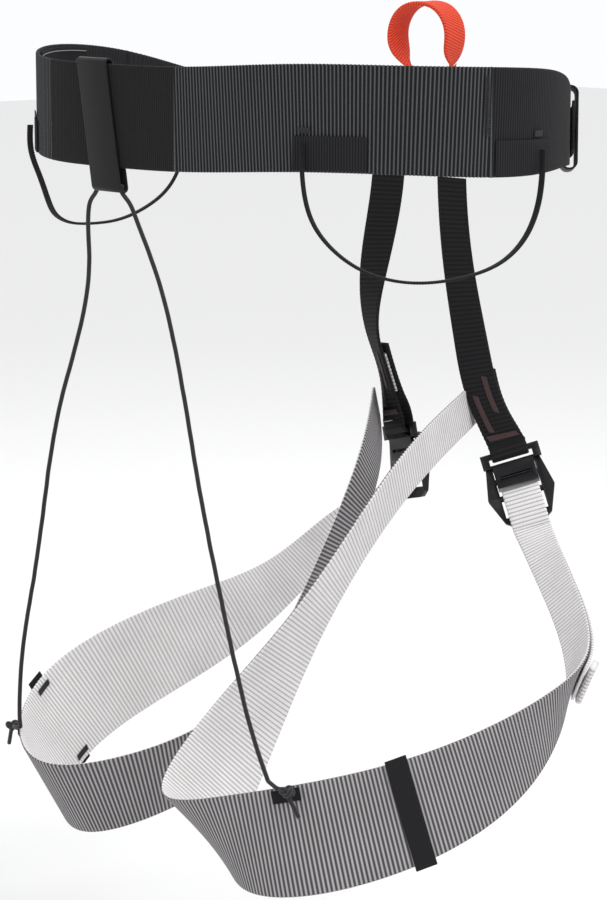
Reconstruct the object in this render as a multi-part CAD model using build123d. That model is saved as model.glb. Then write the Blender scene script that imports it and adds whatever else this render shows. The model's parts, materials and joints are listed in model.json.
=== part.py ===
from build123d import *
import math
import os
import numpy as np

# A light climbing harness, standing as worn. Millimetres, +Z up, the wearer faces -Y and
# their left is +X. The origin is under the middle of the whole harness, at its lowest point.

# ---- driving dimensions ----
BELT_WIDTH = 50.0          # waist belt webbing
STRAP_WIDTH = 20.0         # risers, rear tab, belay loop
TAPE_WIDTH = 11.0          # leg loop keepers
BELT_THICK = 2.0
LEG_THICK = 1.6
RISER_THICK = 1.8
PATCH_THICK = 0.8
STITCH_THICK = 0.5
CORD_RADIUS = 1.1
GAP = 0.3                  # air between two sewn layers
SECTION_STEP = 9.0         # distance between the sections of a lofted strip
FRAME_SHIFT = (-2.0, 2.0, -2.5)  # puts the origin under the middle of the whole harness

# The waist belt's bottom edge and its width there (x, y, z, width), from the adjusting
# slider at the right front, round the back, to the fixed end of the front buckle.
BELT_EDGE = [
    (-46, -98, 343, 25),
    (-84, -86, 344, 29),
    (-117, -57, 348, 41),
    (-137, -8, 347, 50),
    (-120, 45, 349, 50),
    (-68, 73, 349, 50),
    (3, 86, 345.5, 50),
    (52, 92, 345.5, 50),
    (103, 88, 347, 50),
    (137, 58, 350.5, 50),
    (143, 8, 347, 50),
    (124, -56, 333, 46),
    (74, -88, 334, 38),
    (21, -99, 335, 36),
    (-22, -101, 342, 26),
]
# Leg loops: (top edge, bottom edge) from the riser round the inner thigh, the back of the
# thigh and the outside, to the buckle.
RIGHT_LEG = [
    ((-5.3, -100.4, 221), (-6.3, -106.4, 202)),
    ((-34, -21, 193), (-25, -36, 171)),
    ((-36, 44, 133), (-18, 12, 109)),
    ((-14, 97, 71), (-24, 60, 40)),
    ((-31, 124, 54), (-44, 92, 17)),
    ((-70, 120, 61), (-80, 109, 13)),
    ((-128, 62, 79), (-136, 50, 30)),
    ((-145, -22, 101), (-138, -32, 70)),
    ((-131, -63, 112), (-118, -62, 95)),
    ((-86, -97, 140), (-71, -90, 130)),
]
LEFT_LEG = [
    ((72, -110, 217), (71, -112.5, 199)),
    ((26, -54, 185), (33, -73, 166)),
    ((23, -9, 116), (46, -38, 93)),
    ((23, 47, 67), (44, 21, 30)),
    ((38, 85, 53), (52, 58, 13)),
    ((75, 113, 45), (78, 87, 3)),
    ((138, 72, 67), (126, 51, 23)),
    ((105, -14, 111), (87, -25, 79)),
    ((94, -56, 124), (80, -63, 105)),
    ((91, -94, 143), (77, -94, 129)),
]
# Risers: (left edge, right edge) from the belt's inner face down towards the buckle.
RIGHT_RISER = [
    ((11, -97, 372), (-9, -97.6, 372)),
    ((11, -97, 330), (-9, -97.6, 330)),
    ((10, -100, 290), (-10, -102, 290)),
    ((3, -102, 246), (-14, -110, 247)),
    ((-5.5, -103, 217), (-20.5, -115, 217)),
]
LEFT_RISER = [
    ((54, -90.8, 370), (34, -94.8, 370)),
    ((54, -90.8, 330), (34, -94.8, 330)),
    ((61, -89, 280), (42, -90, 280)),
    ((65.5, -98, 246), (49, -91, 248)),
    ((65, -107, 224), (49, -98, 226)),
]
# Leg buckles: centre of the hook bar, direction of the bar, direction facing the leg.
BUCKLE_PLACES = {
    "right": ((-27.5, -118.5, 177), (-0.64, -0.71, 0.29), (-0.577, 0.694, 0.428)),
    "left": ((50, -114, 181.5), (-0.955, 0.187, 0.229), (0.181, 0.979, -0.044)),
}
# Bar direction towards the leg loop's top edge.
TOP_EDGE_SIDE = {"right": 1, "left": -1}

# ---- places along the belt, mm from its right front end ----
BACK_MIDDLE = 343.0
HIP_SEAM = 159.0                 # front panel to hip webbing
BACK_SEAM = 325.0                # hip webbing to the smooth back panel
BACK_END = 413.0
BELT_START = 26.0                # the waist strap is spliced on here
BELT_STOP = 742.5
PATCH_SPANS = [(121.0, 157.0), (217.0, 253.0)]
GEAR_ENDS = {"right": (247.0, 130.5), "left": (439.0, 563.0)}
TAB_MIDDLE = 370.0
TAB_LEAN = 0.16
TAB_FOOT = -12.0                 # heights of its folds above the belt's bottom edge
TAB_HEAD = 53.4
TAB_ROOM = 2.0                   # half the room between its plies
CLOSURE = 701.0                  # middle of the tie-in loop
STRAP_END = 76.0                 # free end of the waist strap
STRAP_KEEPER = 58.0
ANCHOR_PLACE = {"right": 350.0, "left": 354.0}
KEEPER_PLACE = {"right": 410.0, "left": 392.0}


def spline(stations, values):
    """A natural cubic spline through the values, as a function of distance."""
    t = np.array(stations, float)
    v = np.array(values, float)
    n = len(t)
    step = np.diff(t)
    slope = np.diff(v, axis=0) / step[:, None]
    matrix = np.eye(n)
    right = np.zeros_like(v)
    for i in range(1, n - 1):
        matrix[i, i - 1] = step[i - 1]
        matrix[i, i] = 2 * (step[i - 1] + step[i])
        matrix[i, i + 1] = step[i]
        right[i] = 6 * (slope[i] - slope[i - 1])
    bend = np.linalg.solve(matrix, right)

    def at(x):
        i = min(max(int(np.searchsorted(t, x)) - 1, 0), n - 2)
        a = (t[i + 1] - x) / step[i]
        b = (x - t[i]) / step[i]
        curve = ((a**3 - a) * bend[i] + (b**3 - b) * bend[i + 1]) * step[i] ** 2 / 6
        return a * v[i] + b * v[i + 1] + curve

    return at


def unit(v):
    return v / np.linalg.norm(v)


class Webbing:
    """A strip between two matching long edges. `along` is measured in mm down its middle,
    `share` runs from 0 at the bottom edge to 1 at the top edge, and `out` is the distance
    off its middle plane, positive on the outer side."""

    def __init__(self, tops, bottoms, outer_side=1):
        tops = np.array(tops, float)
        bottoms = np.array(bottoms, float)
        steps = np.linalg.norm(np.diff((tops + bottoms) / 2, axis=0), axis=1)
        self.stations = [0.0, *np.cumsum(steps)]
        self.length = self.stations[-1]
        self.outer_side = outer_side
        self.top = spline(self.stations, tops)
        self.bottom = spline(self.stations, bottoms)

    def middle(self, along):
        return (self.top(along) + self.bottom(along)) / 2

    def normal(self, along):
        direction = self.middle(along + 0.5) - self.middle(along - 0.5)
        across = self.top(along) - self.bottom(along)
        return unit(np.cross(direction, across)) * self.outer_side

    def point(self, along, share, out=0.0):
        low = self.bottom(along)
        return low + (self.top(along) - low) * share + self.normal(along) * out

    def piece(self, start, end, low=0.0, high=1.0, out=0.0, thick=1.0, step=SECTION_STEP):
        """A solid layer on the strip. `out` is the distance to the layer's own middle."""
        count = max(3, math.ceil(abs(end - start) / step) + 1)
        path = [(start + (end - start) * i / (count - 1), out) for i in range(count)]
        return self.layer(path, thick, low, high)

    def layer(self, path, thick, low=0.0, high=1.0):
        """A solid through (along, out) stations."""
        sections = []
        for along, out in path:
            sections.append([
                self.point(along, low, out - thick / 2),
                self.point(along, high, out - thick / 2),
                self.point(along, high, out + thick / 2),
                self.point(along, low, out + thick / 2),
            ])
        return loft(sections)

    def frame(self, along, share, out=0.0, slope=0.0):
        """A plane on the strip: x along it, y up its height (leaning by `slope`), z out."""
        forward = unit(self.middle(along + 0.5) - self.middle(along - 0.5))
        up = unit(self.top(along) - self.bottom(along)) + forward * slope
        return self.point(along, share, out), forward, unit(up), self.normal(along)


def loft(sections):
    wires = [Wire.make_polygon([Vector(*c) for c in corners]) for corners in sections]
    return Solid.make_loft(wires)


def strip(edges, outer_side=1):
    """Webbing from a list of (top, bottom) point pairs."""
    return Webbing([e[0] for e in edges], [e[1] for e in edges], outer_side)


def local(side, x, y, z):
    """A point in a leg buckle's own frame: x along the bar, y up the buckle, z to the leg."""
    origin, across, normal = (np.array(v, float) for v in BUCKLE_PLACES[side])
    return origin + unit(across) * x + unit(np.cross(normal, across)) * y + unit(normal) * z


def local_plane(side):
    origin, across, normal = BUCKLE_PLACES[side]
    return Plane(origin=origin, x_dir=across, z_dir=normal)


# ---- leg buckle, in its own frame ----
HOOK_BAR = 1.5                   # radius, on the frame's origin
ADJUST_BAR = 1.6
ADJUST_AT = -9.5
FRAME_TOP = 9.0
FRAME_FOOT = -26.0
FRAME_THICK = 2.6
SLOT_BAR_AT = 13.2               # the riser is looped round this bar of the hook plate
SLOT_BAR = (3.0, 2.1)            # tall, thick
PLATE_MIDDLE = 2.95
HOOK_HALF_WIDTH = 10.2
RISER_TURN = 2.9                 # middle of the riser ply from the middle of its bar
RISER_END = 17.8
LEG_TURN = 3.0                   # middle of the leg strap's ply from the adjusting bar
LEG_END = {"right": (-29.5, 3.0), "left": (-15.0, 3.4)}
TURN_LEG = {"right": 19.0, "left": 4.6}


def riser_strip(side):
    edges = {"right": RIGHT_RISER, "left": LEFT_RISER}[side]
    half = STRAP_WIDTH / 2
    height = PLATE_MIDDLE + RISER_TURN
    end = (local(side, -half, RISER_END, height), local(side, half, RISER_END, height))
    return strip(edges + [end])


def leg_strip(side):
    edges = {"right": RIGHT_LEG, "left": LEFT_LEG}[side]
    half = STRAP_WIDTH / 2 * TOP_EDGE_SIDE[side]
    y, z = LEG_END[side]
    end = (local(side, half, y, z), local(side, -half, y, z))
    return strip(edges + [end], 1 if side == "right" else -1)


belt = Webbing(
    [(x, y, z + width) for x, y, z, width in BELT_EDGE],
    [(x, y, z) for x, y, z, width in BELT_EDGE],
    outer_side=-1,
)
SIDES = ("right", "left")
risers = {side: riser_strip(side) for side in SIDES}
legs = {side: leg_strip(side) for side in SIDES}


def mirrored(along):
    """The same place on the other half of the belt."""
    return 2 * BACK_MIDDLE - along


def belt_spot(along, height, out=0.0):
    """A point on the belt, with its height in mm above the bottom edge."""
    width = float(np.linalg.norm(belt.top(along) - belt.bottom(along)))
    return belt.point(along, height / width, out)


def on_outer_face(thick, layer=PATCH_THICK):
    """Middle of a layer lying on the outer face of webbing."""
    return thick / 2 + GAP + layer / 2


def save(node, *solids):
    placed = [solid.moved(Location(FRAME_SHIFT)) for solid in solids]
    shape = placed[0] if len(placed) == 1 else Compound(children=placed)
    export_step(shape, f"parts/{node}.step")


# ---- waist belt ----
def belt_panels():
    seams = {
        "belt_front_right": (BELT_START, HIP_SEAM - GAP),
        "belt_hip_right": (HIP_SEAM, BACK_SEAM - GAP),
        "belt_back": (BACK_SEAM, BACK_END - GAP),
        "belt_hip_left": (BACK_END, mirrored(HIP_SEAM) - GAP),
        "belt_front_left": (mirrored(HIP_SEAM), BELT_STOP),
    }
    for node, (start, end) in seams.items():
        save(node, belt.piece(start, end, thick=BELT_THICK))


def belt_patches():
    """Sleeves for ice clippers, two on each hip, and a label inside the left of the back."""
    out = on_outer_face(BELT_THICK)
    sleeves = []
    for start, end in PATCH_SPANS:
        for first, last in ((start, end), (mirrored(end), mirrored(start))):
            sleeves.append(belt.piece(first, last, 0.02, 0.34, out, PATCH_THICK))
    save("ice_clipper_sleeves", *sleeves)
    save("inner_label", belt.piece(452, 500, 0.2, 0.97, -out, PATCH_THICK))


def hip_stitching():
    out = on_outer_face(BELT_THICK, STITCH_THICK)
    columns = []
    for along in (HIP_SEAM + 1, mirrored(HIP_SEAM) - 4):
        columns.append(belt.piece(along, along + 3, 0.38, 0.92, out, STITCH_THICK))
    save("hip_stitching", *columns)


FLAT = 0.05                      # half the flat left at the middle of a band's folds


def closed_band(place, width, inside, low, high, ply, slope=0.0):
    """A tape round the belt. `inside` is the room between its plies, `low` and `high` the
    heights of its two folds above the belt's bottom edge, `slope` its lean."""
    back, front = inside
    thick = front - back
    spot, forward, up, out = belt.frame(place, 0.0, 0.0, slope)
    origin = Vector(*(spot - forward * width / 2))
    plane = Plane(origin=origin, x_dir=Vector(*out), z_dir=Vector(*np.cross(out, up)))
    middle = ((front + back) / 2, (low + high) / 2)
    outer_round = thick / 2 + ply - FLAT
    inner_round = thick / 2 - FLAT
    outline = Pos(*middle) * RectangleRounded(thick + 2 * ply, high - low, outer_round)
    room = Pos(*middle) * RectangleRounded(thick, high - low - 2 * ply, inner_round)
    band = extrude(plane * (outline - room), amount=width, dir=Vector(*forward))
    return band.solids()[0]


def rear_tab():
    """A tape over the belt. Its foot hangs below the belt and carries the elastic cord."""
    room = (-TAB_ROOM, TAB_ROOM)
    tab = closed_band(TAB_MIDDLE, STRAP_WIDTH, room, TAB_FOOT, TAB_HEAD, PATCH_THICK, TAB_LEAN)
    save("rear_tab", tab)


def tab_channel(share):
    """The cord's channel in the tab's foot, at a share of its width from the middle."""
    spot, forward, up, out = belt.frame(TAB_MIDDLE, 0.0, 0.0, TAB_LEAN)
    return spot + up * (TAB_FOOT + PATCH_THICK + TAB_ROOM) + forward * STRAP_WIDTH * share


def swept_cord(points, radius=CORD_RADIUS):
    path = Edge.make_spline([Vector(*p) for p in points])
    start = Plane(origin=path @ 0, z_dir=path % 0)
    return sweep(start * Circle(radius), path=path).solids()[0]


# Elastic cords from the foot of the rear tab towards the leg loops.
CORD_PATHS = {
    "right": [(16, 90, 302), (-24, 97, 207), (-58, 104, 126), (-78, 107, 85)],
    "left": [(61, 93, 300), (80, 97, 228), (100, 99, 143), (112, 100, 92)],
}


def elastic_cord(side):
    leg = legs[side]
    end = leg.point(ANCHOR_PLACE[side], 1.0, 0.0)
    top = np.array([0.0, 0.0, 1.0])
    way = -1 if side == "right" else 1
    start = [tab_channel(0.06 * way), tab_channel(0.3 * way), tab_channel(0.52 * way),
             tab_channel(0.68 * way) - top * 5.0]
    points = start + CORD_PATHS[side] + [end + top * (CORD_RADIUS + 1.6)]
    save(f"elastic_cord_{side}", swept_cord(points))


def cord_anchor(side):
    """A tape stitched on the leg loop's top edge, and the knot in the cord's end."""
    leg = legs[side]
    place = ANCHOR_PLACE[side]
    out = on_outer_face(LEG_THICK)
    save(f"cord_anchor_{side}", leg.piece(place + 1, place + 14, 0.86, 0.98, out, PATCH_THICK))
    knot = Sphere(2.8)
    middle = leg.point(place + 9, 0.97, out + PATCH_THICK / 2 + 3.1)
    save(f"cord_knot_{side}", (Pos(*middle) * knot).solids()[0])


# Gear loops: (distance from the rear end, height above the belt's bottom edge, out).
GEAR_PATHS = {
    "right": [
        (0, 14, 4.3), (0.5, 0, 4.4), (6, -22, 5.2), (18, -36, 6), (34, -45, 7), (52, -48, 7.5),
        (72, -45, 7.5), (90, -38, 7), (105, -25, 6), (114, -8, 4.8), (116.5, 12, 4.3),
    ],
    "left": [
        (0, 14, 4.3), (0.5, 2, 4.2), (5, -12, 0), (14, -26, -3.5), (28, -36, -4), (46, -42, -3),
        (64, -43, 0), (82, -40, 2), (100, -31, 4), (114, -18, 4.6), (121, -4, 4.4), (124, 12, 4.3),
    ],
}
GEAR_TAPE = (3.2, 1.4)           # wide, thick


def gear_loop(side):
    """A narrow tape hanging under the hip, its width standing off the belt."""
    edges = []
    half = GEAR_TAPE[0] / 2
    rear, front = GEAR_ENDS[side]
    way = 1 if front > rear else -1
    for along, height, out in GEAR_PATHS[side]:
        place = rear + along * way
        edges.append((belt_spot(place, height, out + half), belt_spot(place, height, out - half)))
    tape = strip(edges)
    save(f"gear_loop_{side}", tape.piece(0, tape.length, thick=GEAR_TAPE[1], step=5))


def gear_loop_bartacks():
    tacks = []
    out = on_outer_face(BELT_THICK)
    for side in SIDES:
        for place in GEAR_ENDS[side]:
            tacks.append(belt.piece(place - 3, place + 3, 0.36, 0.42, out, PATCH_THICK))
    save("gear_loop_bartacks", *tacks)


# ---- front closure ----
BUCKLE_MIDDLE = np.array([-34.0, -101.6, 355.2])
BUCKLE_ALONG = np.array([0.999, 0.04, 0.0])
BUCKLE_OUT = np.array([0.04, -0.999, 0.0])
BUCKLE_HALF = (13.5, 16.5)
BUCKLE_THICK = 2.4
BUCKLE_CORNER = 3.0
BUCKLE_RAIL = 3.1
FIXED_BAR_WIDTH = 2.6
FIXED_BAR_AT = 12.2
SLIDER_AT = -4.0
SLIDER_RADIUS = 1.9
CLOSURE_WIDTH = 24.0
CLOSURE_THICK = 1.5


def closure_plane():
    along = Vector(*BUCKLE_ALONG)
    return Plane(origin=Vector(*BUCKLE_MIDDLE), x_dir=along, z_dir=Vector(*BUCKLE_OUT))


def closure_spot(x, y, z):
    return BUCKLE_MIDDLE + BUCKLE_ALONG * x + np.array([0, 0, y]) + BUCKLE_OUT * z


def turn_points(centre, radius, start, end, count):
    """Points on an arc about `centre` in a (lengthwise, out) plane, angles in degrees."""
    points = []
    for i in range(count + 1):
        angle = math.radians(start + (end - start) * i / count)
        points.append((centre[0] + radius * math.cos(angle), centre[1] + radius * math.sin(angle)))
    return points


def edges_in_closure(path):
    half = CLOSURE_WIDTH / 2
    return [(closure_spot(x, half, z), closure_spot(x, -half, z)) for x, z in path]


def waist_buckle():
    """A flat ring with a fixed bar on the left, and the bar that grips the strap."""
    half_long, half_tall = BUCKLE_HALF
    outline = RectangleRounded(2 * half_long, 2 * half_tall, BUCKLE_CORNER)
    window_tall = 2 * half_tall - 2 * BUCKLE_RAIL
    window = Rectangle(2 * half_long - 2 * FIXED_BAR_WIDTH, window_tall)
    frame = extrude(closure_plane() * (outline - window), amount=BUCKLE_THICK / 2, both=True)
    save("waist_buckle_frame", frame.solids()[0])
    slider = Rotation(90, 0, 0) * Cylinder(SLIDER_RADIUS, window_tall - 2 * GAP)
    bar = closure_plane() * Pos(SLIDER_AT, 0, 0) * slider
    save("waist_buckle_slider", bar.solids()[0])


def waist_fold():
    """The left panel's end, folded round the fixed bar."""
    radius = 2.8
    turn = turn_points((FIXED_BAR_AT, 0), radius, 90, 270, 6)
    path = [(22, radius), (17, radius)] + turn + [(17, -radius), (22, -radius)]
    fold = strip(edges_in_closure(path))
    save("waist_fold", fold.piece(0, fold.length, thick=CLOSURE_THICK, step=2.5))


def waist_strap():
    """The right panel's strap: through the ring, round the slider and back over the panel."""
    radius = SLIDER_RADIUS + 0.25 + CLOSURE_THICK / 2
    half = CLOSURE_WIDTH / 2

    def belt_edges(stations):
        edges = []
        for along, out in stations:
            middle = float(np.linalg.norm(belt.top(along) - belt.bottom(along))) / 2
            top = belt_spot(along, middle + half, out)
            edges.append((top, belt_spot(along, middle - half, out)))
        return edges

    ring = turn_points((SLIDER_AT, 0), radius, 270, 450, 6)
    turn = edges_in_closure([(-13, -radius)] + ring + [(-13, radius)])
    from_belt = belt_edges([(25.6, 0), (17, 0), (8, -0.2)])
    free_end = belt_edges([(8, 4.6), (22, 3.2), (40, 2.7), (58, 2.5), (STRAP_END, 2.3)])
    strap = strip(from_belt + turn + free_end)
    save("waist_strap", strap.piece(0, strap.length, thick=CLOSURE_THICK, step=3.0))
    keeper = closed_band(STRAP_KEEPER, 9.0, (-1.9, 4.2), -2.4, 38.5, 1.0)
    save("waist_strap_keeper", keeper)


# ---- tie-in and belay loops ----
TIE_IN_HEIGHT = 18.0             # above the belt's bottom edge
TIE_IN_OUT = 9.8
TIE_IN_WIDTH = 9.0
TIE_IN_THICK = 3.6
TACK_OUT = 5.7                   # its stitching, from the belt's middle


def tie_in_loop():
    half_span = [(5, TIE_IN_OUT), (10, TIE_IN_OUT), (12.5, 9.0), (16, 6.0), (20, 3.4), (25, 3.2)]
    stations = [(-along, out) for along, out in reversed(half_span)] + half_span
    half = TIE_IN_WIDTH / 2
    edges = []
    for along, out in stations:
        place = CLOSURE + along
        top = belt_spot(place, TIE_IN_HEIGHT + half, out)
        edges.append((top, belt_spot(place, TIE_IN_HEIGHT - half, out)))
    loop = strip(edges, -1)
    save("tie_in_loop", loop.piece(0, loop.length, thick=TIE_IN_THICK, step=3.0))


def tie_in_bartacks():
    tacks = []
    for along in (-22.5, 22.5):
        path = [(CLOSURE + along + shift, TACK_OUT) for shift in (-2.0, 0.0, 2.0)]
        tacks.append(belt.layer(path, STITCH_THICK, 0.36, 0.64))
    save("tie_in_bartacks", *tacks)


# Belay loop: (half spread, height above the tie-in loop) from its bottom to its crown.
BELAY_OUTLINE = [
    (0, -7.2), (5.0, -5.2), (7.0, 0), (7.0, 12), (7.0, 20), (10.5, 32), (15.5, 44), (17.0, 52),
    (15.0, 60), (8.8, 66.5), (0, 68.4),
]
BELAY_THICK = 2.2
BELAY_TWIST = 80.0               # degrees between the bottom and the upper part
BELAY_LEAN = 8.0                 # how far the crown sits behind the tie-in loop
TWIST_FROM = 21.0
TWIST_OVER = 26.0


def belay_ring():
    centre = belt_spot(CLOSURE, TIE_IN_HEIGHT, TIE_IN_OUT)
    out = belt.normal(CLOSURE)
    up = np.array([0.0, 0.0, 1.0])
    along = unit(np.cross(out, up))
    half = STRAP_WIDTH / 2
    edges = []
    outline = BELAY_OUTLINE + [(-s, h) for s, h in BELAY_OUTLINE[-2::-1]]
    for spread, height in outline:
        share = min(max((height - TWIST_FROM) / TWIST_OVER, 0.0), 1.0)
        share = share * share * (3 - 2 * share)
        angle = math.radians(BELAY_TWIST) * share
        face = out * math.cos(angle) + along * math.sin(angle)
        edge = along * math.cos(angle) - out * math.sin(angle)
        spot = centre + face * spread + up * height - out * BELAY_LEAN * share
        edges.append((spot + edge * half, spot - edge * half))
    return strip(edges)


def belay_loop():
    ring = belay_ring()
    save("belay_loop", ring.piece(0.4, ring.length - 0.4, thick=BELAY_THICK, step=5.0))


def belay_bartacks():
    """Three rows of stitching that close the belay loop's lap."""
    ring = belay_ring()
    out = BELAY_THICK / 2 + GAP + STITCH_THICK / 2
    rows = []
    for share in (0.16, 0.5, 0.84):
        row = ring.piece(22, 52, share - 0.05, share + 0.05, out, STITCH_THICK, step=5.0)
        rows.append(row)
    save("belay_bartacks", *rows)


# ---- legs ----
PIVOT_HEIGHT = 333.0             # the legs swing about the belt's bottom edge
PIVOT_GAP = 2.2                  # room between the sewn part of a riser and its hanging part


def riser(side):
    """The upper part is sewn inside the belt, the rest hangs down to the hook plate."""
    strap = risers[side]
    top = float(strap.middle(0)[2])
    split = top - PIVOT_HEIGHT
    save(f"riser_anchor_{side}", strap.piece(0, split - PIVOT_GAP / 2, thick=RISER_THICK))
    save(f"riser_{side}", strap.piece(split + PIVOT_GAP / 2, strap.length, thick=RISER_THICK))


LAP_LENGTH = 42.0


def riser_return(side):
    """The riser's end: round the hook plate's bar and back up its front."""
    strap = risers[side]
    half = STRAP_WIDTH / 2
    ring = turn_points((SLOT_BAR_AT, PLATE_MIDDLE), RISER_TURN, 90, 270, 8)
    front = (RISER_END - 0.9, PLATE_MIDDLE + RISER_TURN)
    rear = (RISER_END - 0.5, PLATE_MIDDLE - RISER_TURN)
    path = [front] + ring + [rear]
    edges = [(local(side, -half, y, z), local(side, half, y, z)) for y, z in path]
    for back, out in ((5, 5.9), (12, 4.9), (20, 4.3), (30, 4.2), (LAP_LENGTH, 4.2)):
        along = strap.length - back
        edges.append((strap.point(along, 1.0, out), strap.point(along, 0.0, out)))
    loop = strip(edges)
    save(f"riser_return_{side}", loop.piece(0, loop.length, thick=RISER_THICK, step=2.0))


def riser_bartacks(side):
    strap = risers[side]
    out = -(RISER_THICK / 2 + GAP / 2 + STITCH_THICK / 2)
    end = strap.length
    tacks = [
        strap.piece(end - 27, end - 7, 0.64, 0.8, out, STITCH_THICK, 5),
        strap.piece(end - 38, end - 18, 0.24, 0.4, out, STITCH_THICK, 5),
        strap.piece(end - 5.5, end - 2.5, 0.1, 0.9, out, STITCH_THICK, 5),
    ]
    save(f"riser_bartacks_{side}", *tacks)


def leg_end(side):
    """The leg loop's sewn end, between the riser's two plies."""
    strap = risers[side]
    end = strap.length
    save(f"leg_end_{side}", strap.piece(end - 37, end - 15, 0.08, 0.9, 2.05, LEG_THICK, 5))


def leg_loop(side):
    leg = legs[side]
    save(f"leg_loop_{side}", leg.piece(0.5, leg.length - 0.4, thick=LEG_THICK))


def cross_tape(leg, place, width, low, high, out, thick, count=9):
    """A tape across a strip, from one edge to the other."""
    sections = []
    for i in range(count):
        share = low + (high - low) * i / (count - 1)
        spot, forward, up, normal = leg.frame(place, share, out)
        side = forward * width / 2
        rise = normal * thick / 2
        sections.append([spot - side - rise, spot + side - rise, spot + side + rise, spot - side + rise])
    return loft(sections)


def leg_keeper(side):
    """A tape across the leg loop, sewn at both edges, with bartacks inside."""
    leg = legs[side]
    place = KEEPER_PLACE[side]
    out = on_outer_face(LEG_THICK, 1.0)
    save(f"leg_keeper_{side}", cross_tape(leg, place, TAPE_WIDTH, -0.04, 1.04, out, 1.0))
    tacks = []
    inside = -on_outer_face(LEG_THICK, STITCH_THICK)
    for low, high in ((0.05, 0.11), (0.88, 0.94)):
        tacks.append(leg.piece(place - 5, place + 5, low, high, inside, STITCH_THICK))
    save(f"keeper_bartacks_{side}", *tacks)


def buckle_frame(side):
    """A shield-shaped plate with a hook bar, an adjusting bar and a rounded foot."""
    right_side = [(14.3, FRAME_TOP), (18, -9), (12.5, FRAME_FOOT + 3), (8, FRAME_FOOT)]
    outline = right_side + [(-x, y) for x, y in reversed(right_side)]
    shield = make_face(Polyline(*outline, close=True))
    shield = fillet(shield.vertices(), 2.0)
    window = 22.6
    upper = Pos(0, (FRAME_TOP - 3.2) / 2) * Rectangle(window, FRAME_TOP - 3.2)
    lower_foot = FRAME_FOOT + 5.6
    lower = Pos(0, lower_foot / 2) * Rectangle(window, -lower_foot)
    plate = extrude(shield - upper - lower, amount=FRAME_THICK / 2, both=True)
    bar_length = window + 1
    plate = plate + Rotation(0, 90, 0) * Cylinder(HOOK_BAR, bar_length)
    plate = plate + Pos(0, ADJUST_AT, 0) * Rotation(0, 90, 0) * Cylinder(ADJUST_BAR, bar_length)
    save(f"buckle_frame_{side}", (local_plane(side) * plate).solids()[0])


def hook_plate(side):
    """A flat plate that passes in front of the frame's hook bar and turns up behind it, with
    a slot at its head for the riser."""
    half = SLOT_BAR[1] / 2
    front = PLATE_MIDDLE + half
    rear = PLATE_MIDDLE - half
    head = SLOT_BAR_AT + SLOT_BAR[0] / 2
    outline = [(head, rear), (head, front), (-4.6, front), (-4.6, -4.0), (2.5, -4.0), (2.5, -2.0),
               (-2.4, -2.0), (-2.4, rear)]
    profile = make_face(Polyline(*outline, close=True))
    plate = extrude(Plane.YZ * profile, amount=HOOK_HALF_WIDTH, both=True)
    shoulder = Pos(0, SLOT_BAR_AT - 2.4, PLATE_MIDDLE) * Box(29.0, 7.8, SLOT_BAR[1])
    slot = Pos(0, SLOT_BAR_AT - 3.7, PLATE_MIDDLE) * Box(21.4, 4.4, 6)
    pull_slot = Pos(0, 0.4, PLATE_MIDDLE) * Box(16, 1.6, 6)
    plate = plate + shoulder - slot - (pull_slot & (Pos(0, 0, 4) * Box(30, 30, 5)))
    save(f"hook_plate_{side}", (local_plane(side) * plate).solids()[0])


def strap_turn(side):
    """The leg webbing passing round the adjusting bar."""
    half = STRAP_WIDTH / 2
    foot = ADJUST_AT - TURN_LEG[side]
    ring = turn_points((0, 0), LEG_TURN, 0, 180, 8)
    path = [(foot, LEG_TURN)] + [(ADJUST_AT + z, y) for y, z in ring] + [(foot, -LEG_TURN)]
    edges = [(local(side, -half, y, z), local(side, half, y, z)) for y, z in path]
    turn = strip(edges)
    save(f"strap_turn_{side}", turn.piece(0, turn.length, thick=LEG_THICK, step=2.0))


TAIL_START = {"right": 120.0, "left": 95.0}   # its length back from the buckle
TAIL_OUT = 2.5
TAIL_NEAR_BUCKLE = {             # (distance back from the buckle, out)
    "right": [(2, 6.0), (12, 5.6), (26, 4.2), (44, 3.0)],
    "left": [(16, 7.5), (28, 5.0), (44, 3.2)],
}
STOPPER_THICK = 3.4


def strap_tail(side):
    """The free end, along the outside of the leg loop, with a folded stopper."""
    leg = legs[side]
    end = leg.length
    length = TAIL_START[side]
    path = [(end - back, out) for back, out in TAIL_NEAR_BUCKLE[side]]
    path += [(end - back, TAIL_OUT) for back in np.linspace(60, length, 6)]
    save(f"strap_tail_{side}", leg.layer(path, LEG_THICK, 0.03, 0.97))
    start = end - length
    out = TAIL_OUT + LEG_THICK + STOPPER_THICK / 2
    save(f"strap_stopper_{side}", leg.piece(start - 1, start + 8, 0.03, 0.97, out, STOPPER_THICK))


LEG_PIECES = (elastic_cord, cord_anchor, gear_loop, riser, riser_return, riser_bartacks, leg_end,
              leg_loop, leg_keeper, buckle_frame, hook_plate, strap_turn, strap_tail)


def main():
    os.makedirs("parts", exist_ok=True)
    belt_panels()
    belt_patches()
    hip_stitching()
    rear_tab()
    gear_loop_bartacks()
    waist_buckle()
    waist_fold()
    waist_strap()
    tie_in_loop()
    tie_in_bartacks()
    belay_loop()
    belay_bartacks()
    for side in SIDES:
        for make in LEG_PIECES:
            make(side)


if __name__ == "__main__":
    main()
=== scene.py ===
import heapq
import json
import math

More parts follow.
